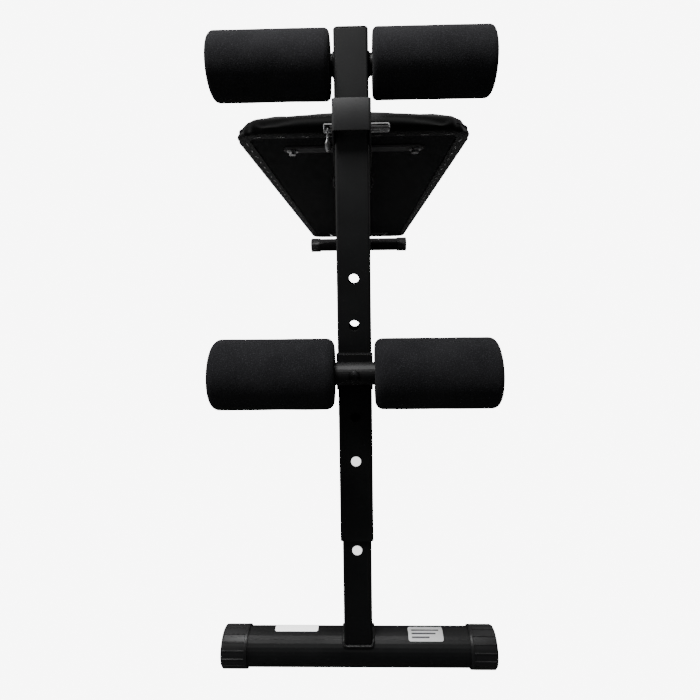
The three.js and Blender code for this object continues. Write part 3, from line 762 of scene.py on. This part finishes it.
def foot_cap(name, side):
    """A cap with a smooth lip, ridged sides, a rounded end and a shallow dished face."""
    bore, end_wall, lip, fillet = TUBE_RADIUS + 0.3, 3, 3.5, 3.5
    flat, smooth = CAP_RADIUS - RIDGE, CAP_RADIUS - 0.1
    inside = CAP_OUTER - end_wall
    rings = [cap_ring(inside, 0.5, 0), cap_ring(inside, bore, 0), cap_ring(CAP_INNER, bore, 0)]
    rings += [cap_ring(CAP_INNER, flat + 0.3, NO_RIDGE), cap_ring(CAP_INNER + 0.6, smooth, NO_RIDGE)]
    rings += [cap_ring(CAP_INNER + lip, smooth, NO_RIDGE), cap_ring(CAP_INNER + lip + 0.5, flat, RIDGE)]
    rings.append(cap_ring(CAP_OUTER - fillet, flat, RIDGE))
    for step in range(1, 7):
        angle = step / 6 * math.pi / 2
        sunk = fillet * (1 - math.cos(angle))
        x = CAP_OUTER - fillet + fillet * math.sin(angle)
        rings.append(cap_ring(x, flat - sunk, RIDGE * math.cos(angle)))
    dish = CAP_OUTER - 0.8
    rings += [cap_ring(CAP_OUTER, flat - 7, 0), cap_ring(dish, flat - 8, 0), cap_ring(dish, 0.5, 0)]
    place = FOOT_PLACES[name] @ Matrix.Rotation(0 if side == "right" else math.pi, 4, "Z")
    cap = piece(f"{name}_cap_{side}", rings_mesh(rings), PLASTIC, FOOT_BODIES[name], place)
    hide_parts(f"{name}_foot_cap_{side}")


for name in FOOT_PLACES:
    for side in ("left", "right"):
        foot_cap(name, side)

# ------------------------------------------------------------------ folded hinge bracket

BRACKET_HALF = reach("hinge_bracket", X)[1]
BRACKET_FRONT, BRACKET_BACK = reach("hinge_bracket", POST_BACK, FOOT)
BRACKET_TOP = reach("hinge_bracket", POST_UP, FOOT)[1]
SHEET = 2
WEB_HEIGHT = 36
PIVOT = (middle_at("pivot_pin", POST_BACK, FOOT), middle_at("pivot_pin", POST_UP, FOOT))
LOCK = (middle_at("lock_pin", POST_BACK, FOOT), middle_at("lock_pin", POST_UP, FOOT))
PIVOT_RADIUS, LOCK_RADIUS = 5, 6
BRACKET_LOBE = 14  # radius of the sheet round the pivot pin


def folded_sheet():
    """The sheet folded round the front of the post, before its side view is cut."""
    bend = 3.5
    outer, inner = [], []
    for side, start in ((1, 0), (-1, math.pi / 2)):
        for step in range(7):
            angle = -start - step / 6 * math.pi / 2
            direction = (math.cos(angle), math.sin(angle))
            x = side * (BRACKET_HALF - bend)
            y = BRACKET_FRONT + bend
            outer.append((x + bend * direction[0], y + bend * direction[1]))
            inner.append((x + (bend - SHEET) * direction[0], y + (bend - SHEET) * direction[1]))
    back = BRACKET_BACK + 5
    outline = [(BRACKET_HALF, back), *outer, (-BRACKET_HALF, back)]
    outline += [(SHEET - BRACKET_HALF, back), *inner[::-1], (BRACKET_HALF - SHEET, back)]
    rings = [[Vector((x, y, z)) for x, y in outline] for z in (PIVOT[1] - 30, BRACKET_TOP + 5)]
    return rings_mesh(rings)


def across_plate(outline, half):
    """A plate of the given half width whose (back, up) outline is extruded across the post."""
    return rings_mesh([[Vector((x, y, z)) for y, z in outline] for x in (-half, half)])


def bracket():
    """The folded sheet cut to its side view, drilled for both pins, with its edges broken."""
    back = LOCK[0] + LOCK_RADIUS + 3.5
    low = BRACKET_TOP - WEB_HEIGHT
    outline = [
        (BRACKET_FRONT - 1, BRACKET_TOP),
        (BRACKET_FRONT - 1, low),
        (BRACKET_FRONT + SHEET + 1.5, low),
        (-20, low - 12),
        *arc(PIVOT, BRACKET_LOBE, math.pi, 2 * math.pi, 16),
        (PIVOT[0] + BRACKET_LOBE, PIVOT[1] + 20),
        (back, PIVOT[1] + 51),
        *arc((back - 5, BRACKET_TOP - 5), 5, 0, math.pi / 2, 6),
    ]
    obj = loose_object("folded_bracket", folded_sheet())
    obj.data.transform(TO_METRES)
    carve(obj, across_plate(outline, BRACKET_HALF + 4), "INTERSECT")
    for centre, radius in ((PIVOT, PIVOT_RADIUS + 0.3), (LOCK, LOCK_RADIUS + 0.3)):
        carve(obj, across_plate(circle(centre, radius, 36), BRACKET_HALF + 4))
    edges = obj.modifiers.new("edges", "BEVEL")
    edges.width = 0.5 * MM
    edges.segments = 2
    edges.limit_method = "ANGLE"
    edges.angle_limit = math.radians(50)
    modified(obj)
    # the sheet's lighter coat is painted light
    adopt(obj, SHEET_COAT_PAINTED_LIGHT, "post", POST_PLACE @ TO_METRES.inverted())
    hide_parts("hinge_bracket")


bracket()

# ------------------------------------------------------------------ pull ring and plunger grip


def pull_ring():
    """A wire ring through the lock pin, thickened into a finger grip at its lower end."""
    left, right = reach("lock_pin_ring", X)
    low, high = reach("lock_pin_ring", POST_UP, FOOT)
    wire = (right - left) / 2
    radius = (high - low) / 2 - wire
    back = middle_at("lock_pin_ring", POST_BACK, FOOT)
    centre = Vector(((left + right) / 2, back, (low + high) / 2))
    rings = []
    for step in range(72):
        angle = 2 * math.pi * step / 72
        down = (1 - math.cos(angle)) / 2
        thick = wire + 2.5 * smooth_step(down, 0.55, 0.8)
        out = Vector((0, math.sin(angle), math.cos(angle)))
        middle_line = centre + out * (radius - (thick - wire) * 0.6)
        ring = []
        for k in range(14):
            turn = 2 * math.pi * k / 14
            ring.append(middle_line + (X * math.cos(turn) + out * math.sin(turn)) * thick)
        rings.append(ring)
    ring = piece("pull_ring", rings_mesh(rings, closed_loop=True), ZINC, "ring", POST_PLACE)
    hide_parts("lock_pin_ring")


pull_ring()


def plunger_grip():
    """A fluted grip over the plunger's knob."""
    end = reach("adjust_plunger", POST_BACK, FOOT)[1]
    up = middle_at("adjust_plunger", POST_UP, FOOT)
    knob = reach("adjust_plunger", X)[1]
    inner = knob + 0.3
    rings = []
    for inset, grow in ((8.6, 0.2), (8.6, 1.2), (7.8, 1.9), (5, 2.1), (3.6, 1.9), (3.1, 1.2), (3.1, 0.2)):
        ring = []
        for step in range(96):
            angle = 2 * math.pi * step / 96
            flute = 0.55 * (0.5 + 0.5 * math.cos(12 * angle)) if grow > 1 else 0
            r = inner + grow - flute if grow > 0.5 else inner
            ring.append(Vector((r * math.cos(angle), end - inset, up + r * math.sin(angle))))
        rings.append(ring)
    piece("plunger_grip", rings_mesh(rings, closed_loop=True), PLASTIC, "plunger", POST_PLACE)


plunger_grip()

# ------------------------------------------------------------------ weld beads


def bead(name, path, body, place, radius, closed=False):
    """A rippled weld bead along a path in millimetres."""
    points = [Vector(point) for point in path]
    if closed:
        points.append(points[0])
    even = []
    for a, b in zip(points, points[1:]):
        parts = max(1, round((b - a).length / 0.9))
        even += [a.lerp(b, k / parts) for k in range(parts)]
    if not closed:
        even.append(points[-1])
    count = len(even)
    rings = []
    for index, point in enumerate(even):
        before = even[(index - 1) % count] if closed else even[max(0, index - 1)]
        after = even[(index + 1) % count] if closed else even[min(count - 1, index + 1)]
        along = (after - before).normalized()
        side = along.orthogonal().normalized()
        if abs(along.z) < 0.9:
            side = along.cross(Vector((0, 0, 1))).normalized()
        over = along.cross(side)
        thick = radius * (0.86 + 0.14 * abs(math.sin(index * 0.55)) + 0.08 * noise.noise(point * 0.3))
        if not closed:
            thick *= 0.35 + 0.65 * min(1, min(index, count - 1 - index) / 3)
        ring = []
        for k in range(10):
            turn = 2 * math.pi * k / 10
            ring.append(point + (side * math.cos(turn) + over * math.sin(turn)) * thick)
        rings.append(ring)
    piece(name, rings_mesh(rings, closed_loop=closed), PAINT, body, place)


def square_path(side, corner):
    """Points round a rounded square."""
    return dense(rounded_rectangle(side / 2, side / 2, corner, 4), 2)


LEG_SIDE = 2 * reach("leg_tube", X)[1]
BEAM_SIDE = 2 * reach("beam_tube", X)[1]
BEAM_MIDDLE = middle_at("beam_tube", BOARD_UP, BOARD_ORIGIN)
REAR_ALONG = BOARD_DOWN.dot(REAR_FOOT - BOARD_ORIGIN) / MM
POST_HALF = reach("post_tube", X)[1]


def on_tube(offset):
    return math.sqrt(max(0, (TUBE_RADIUS + 0.6) ** 2 - offset**2))


# radii of the beads, and half the length of those on the cross bars
FOOT_BEAD, TUBE_BEAD, THIN_BEAD, BRACKET_BEAD = 2.3, 1.6, 1.5, 1.8
CROSS_BAR_BEAD_HALF = 14

leg_path = [(x, y, on_tube(y)) for x, y in square_path(LEG_SIDE + 1.2, 3)]
bead("leg_foot_weld", leg_path, "leg", POST_PLACE, FOOT_BEAD, closed=True)
beam_path = [(x, REAR_ALONG - on_tube(z), BEAM_MIDDLE + z) for x, z in square_path(BEAM_SIDE + 1.2, 3)]
bead("beam_foot_weld", beam_path, "board", BOARD_PLACE, FOOT_BEAD, closed=True)

upper_up = middle_at("upper_cross_tube", POST_UP, FOOT)
upper_radius = tube_radius("upper_cross_tube")
plunger_up = middle_at("plunger_barrel", POST_UP, FOOT)
barrel_radius = reach("plunger_barrel", X)[1]
for label, sign in (("left", -1), ("right", 1)):
    wall_x = sign * (POST_HALF + 0.4)
    run = [(wall_x, y, z) for y, z in circle((0, upper_up), upper_radius + 0.6, 48)]
    bead(f"upper_tube_weld_{label}", run, "post", POST_PLACE, TUBE_BEAD, closed=True)
    flange_x = sign * (POST_HALF + 0.9)
    run = [(flange_x, -17, BRACKET_TOP - WEB_HEIGHT - 14.5), (flange_x, 14, PIVOT[1] + 12)]
    bead(f"bracket_weld_{label}", run, "post", POST_PLACE, BRACKET_BEAD)
    cheek_back = reach(f"beam_cheek_{label}", POST_BACK, FOOT)[1]
    cheek_x = sign * (BEAM_SIDE / 2 + 1.2)
    run = [(cheek_x, cheek_back + 0.6, PIVOT[1] + 25), (cheek_x, cheek_back + 0.6, PIVOT[1] + 45)]
    bead(f"cheek_weld_{label}", run, "board", POST_PLACE, TUBE_BEAD)
barrel_path = [(x, POST_HALF + 0.5, z) for x, z in circle((0, plunger_up), barrel_radius + 0.5, 36)]
bead("barrel_weld", barrel_path, "post", POST_PLACE, THIN_BEAD, closed=True)
for bar in ("front", "rear"):
    y0, y1 = reach(f"{bar}_cross_bar", BOARD_DOWN, BOARD_ORIGIN)
    z0 = reach(f"{bar}_cross_bar", BOARD_UP, BOARD_ORIGIN)[0]
    for label, y in (("fore", y0 - 0.6), ("aft", y1 + 0.6)):
        run = [(-CROSS_BAR_BEAD_HALF, y, z0 + 0.6), (CROSS_BAR_BEAD_HALF, y, z0 + 0.6)]
        bead(f"{bar}_bar_weld_{label}", run, "board", BOARD_PLACE, THIN_BEAD)

# ------------------------------------------------------------------ stickers on the front foot


def tube_patch(name, x_range, angles, sheet, material):
    """A sheet (lift, thickness, corner radius) on the front foot tube; angles run forward from the top."""
    (x0, x1), (angle0, angle1) = x_range, angles
    lift, thick, corner = sheet
    radius = TUBE_RADIUS + lift
    half_x, half_s = (x1 - x0) / 2, math.radians(angle1 - angle0) * radius / 2
    outline = dense(rounded_rectangle(half_x, half_s, corner, 4), 1)
    count = len(outline)
    middle_angle = math.radians(angle0 + angle1) / 2
    rings = [[(x * k / 6, s * k / 6) for x, s in outline] for k in range(1, 7)]

    def wrap(x, s, r):
        angle = middle_angle + s / radius
        return Vector((x + (x0 + x1) / 2, -r * math.sin(angle), r * math.cos(angle)))

    work = bmesh.new()
    skins = []
    for r in (radius, radius + thick):
        centre = work.verts.new(wrap(0, 0, r))
        loops = [[work.verts.new(wrap(x, s, r)) for x, s in ring] for ring in rings]
        for k in range(count):
            work.faces.new((centre, loops[0][k], loops[0][(k + 1) % count]))
        for a, b in zip(loops, loops[1:]):
            for k in range(count):
                work.faces.new((a[k], b[k], b[(k + 1) % count], a[(k + 1) % count]))
        skins.append(loops[-1])
    low, high = skins
    for k in range(count):
        work.faces.new((low[k], low[(k + 1) % count], high[(k + 1) % count], high[k]))
    piece(name, work, material, "leg", FOOT_PLACES["front"])


STICKER_LIFT, STICKER_THICK, STICKER_CORNER = 0.08, 0.15, 2.5
PRINT_LIFT, PRINT_THICK, PRINT_CORNER = 0.24, 0.06, 0.4
PRINT_START, PRINT_ENDS = 66, (100, 96, 88)
PRINT_FIRST_ANGLE, PRINT_PITCH_ANGLE, PRINT_TALL_ANGLE = -22, 12, 5

# the left sticker gets the paper with the painted glow
for name, x_range, angles, paper in (
    ("left_sticker", (-105, -51), (-70, -14), PAPER_PAINTED_GLOW),
    ("right_sticker", (62, 105), (-36, 16), PAPER),
):
    tube_patch(name, x_range, angles, (STICKER_LIFT, STICKER_THICK, STICKER_CORNER), paper)
# three plain bars stand for the print
for number, end in enumerate(PRINT_ENDS):
    top = PRINT_FIRST_ANGLE + PRINT_PITCH_ANGLE * number
    angles = (top, top + PRINT_TALL_ANGLE)
    sheet = (PRINT_LIFT, PRINT_THICK, PRINT_CORNER)
    tube_patch(f"sticker_bar_{number}", (PRINT_START, end), angles, sheet, PRINT)

# ------------------------------------------------------------------ floor, light and camera

BACKDROP_GLOW = 8.0  # what the camera sees
BEHIND_GLOW = 0.7  # what gloss mirrors from behind the bench
FRONT_DARK = 0.004  # what gloss mirrors from low in front of it
FILL_GLOW = 0.32  # what lights matte surfaces from all round


def by_ray(tree, ray, one, other):
    """Mixes two shaders: the first for rays of the given kind, the second for the rest."""
    path = tree.nodes.new("ShaderNodeLightPath")
    blend = tree.nodes.new("ShaderNodeMixShader")
    tree.links.new(path.outputs[ray], blend.inputs[0])
    tree.links.new(other, blend.inputs[1])
    tree.links.new(one, blend.inputs[2])
    return blend.outputs[0]


# the camera sees the white backdrop through the floor, as a leg drawn out reaches below it;
# other rays meet a dim floor, which sends little light back up on to the black frame
bpy.ops.mesh.primitive_plane_add(size=40, location=(0, 0, FLOOR_Z))
floor = bpy.context.object
floor.name = "floor"
floor_material, floor_tree, _ = new_material("pale_floor")
clear_floor = floor_tree.nodes.new("ShaderNodeBsdfTransparent")
dim_floor = floor_tree.nodes.new("ShaderNodeBsdfDiffuse")
floor_place = floor_tree.nodes.new("ShaderNodeTexCoord")
floor_split = floor_tree.nodes.new("ShaderNodeSeparateXYZ")
floor_tree.links.new(floor_place.outputs["Object"], floor_split.inputs[0])
behind_foot = floor_tree.nodes.new("ShaderNodeMath")
behind_foot.operation = "SUBTRACT"
behind_foot.inputs[1].default_value = FOOT.y
floor_tree.links.new(floor_split.outputs["Y"], behind_foot.inputs[0])
floor_grey = ramp(floor_tree, behind_foot.outputs[0], [(0.05, 0.08), (0.4, 0.2)])
floor_tree.links.new(floor_grey, dim_floor.inputs[0])
floor_surface = by_ray(floor_tree, "Is Camera Ray", clear_floor.outputs[0], dim_floor.outputs[0])
floor_tree.links.new(floor_surface, floor_tree.nodes["Material Output"].inputs["Surface"])
floor.data.materials.append(floor_material)

# a studio that is white behind the bench, dark in front of it and lit again high overhead
world = bpy.data.worlds.new("studio")
bpy.context.scene.world = world
world.use_nodes = True
sky_tree = world.node_tree
backdrop = sky_tree.nodes["Background"]
backdrop.inputs[0].default_value = (1, 1, 1, 1)
backdrop.inputs[1].default_value = BACKDROP_GLOW
direction = sky_tree.nodes.new("ShaderNodeTexCoord")
split = sky_tree.nodes.new("ShaderNodeSeparateXYZ")
sky_tree.links.new(direction.outputs["Generated"], split.inputs[0])
front_glow = [(0.12, FRONT_DARK), (0.45, 0.015), (0.62, 0.07), (0.95, 0.3)]
overhead_glow = ramp(sky_tree, split.outputs["Z"], front_glow)
behind = ramp(sky_tree, split.outputs["Y"], [(0.05, 0), (0.45, 1)])
seen_in_gloss = mix(sky_tree, behind, overhead_glow, (BEHIND_GLOW, BEHIND_GLOW, BEHIND_GLOW))
gloss = sky_tree.nodes.new("ShaderNodeBackground")
sky_tree.links.new(seen_in_gloss, gloss.inputs[0])
fill = sky_tree.nodes.new("ShaderNodeBackground")
fill.inputs[0].default_value = (1, 1, 1, 1)
fill.inputs[1].default_value = FILL_GLOW
not_camera = by_ray(sky_tree, "Is Glossy Ray", gloss.outputs[0], fill.outputs[0])
sky_surface = by_ray(sky_tree, "Is Camera Ray", backdrop.outputs[0], not_camera)
sky_tree.links.new(sky_surface, sky_tree.nodes["World Output"].inputs["Surface"])


def soft_light(name, place, size, power):
    data = bpy.data.lights.new(name, "AREA")
    data.shape = "RECTANGLE"
    data.size, data.size_y = size
    data.energy = power
    light = bpy.data.objects.new(name, data)
    bpy.context.scene.collection.objects.link(light)
    light.location = place
    aim = Vector(LIT_PLACE) - Vector(place)
    light.rotation_euler = aim.to_track_quat("-Z", "Y").to_euler()


LIT_PLACE = (0, -0.4, 0.4)
soft_light("overhead", (-0.22, -0.4, 1.75), (0.4, 0.3), 24)
soft_light("left_window", (-2.4, -0.75, 1.3), (0.9, 1.3), 18)
soft_light("right_strip", (2.4, 0.5, 1.2), (0.5, 1.8), 5)

CAMERA_PLACE = FOOT + Vector((0.0093, -0.376, 0.697))
CAMERA_PITCH = math.radians(26.67)
CAMERA_YAW = math.radians(1.46)
CAMERA_ROLL = math.radians(1.35)
FOCAL_RATIO = 0.7342  # focal length over picture width
PICTURE_RISE = -0.0907  # the picture is taken from below the optical axis, as a share of its width

camera_data = bpy.data.cameras.new("camera")
camera_data.sensor_width = 36
camera_data.lens = FOCAL_RATIO * camera_data.sensor_width
camera_data.shift_y = PICTURE_RISE
camera_data.clip_start = 0.01
camera = bpy.data.objects.new("camera", camera_data)
bpy.context.scene.collection.objects.link(camera)
tilt = Matrix.Rotation(CAMERA_YAW, 4, "Z") @ Matrix.Rotation(math.pi / 2 - CAMERA_PITCH, 4, "X")
camera.matrix_world = Matrix.Translation(CAMERA_PLACE) @ tilt @ Matrix.Rotation(-CAMERA_ROLL, 4, "Z")
bpy.context.scene.camera = camera
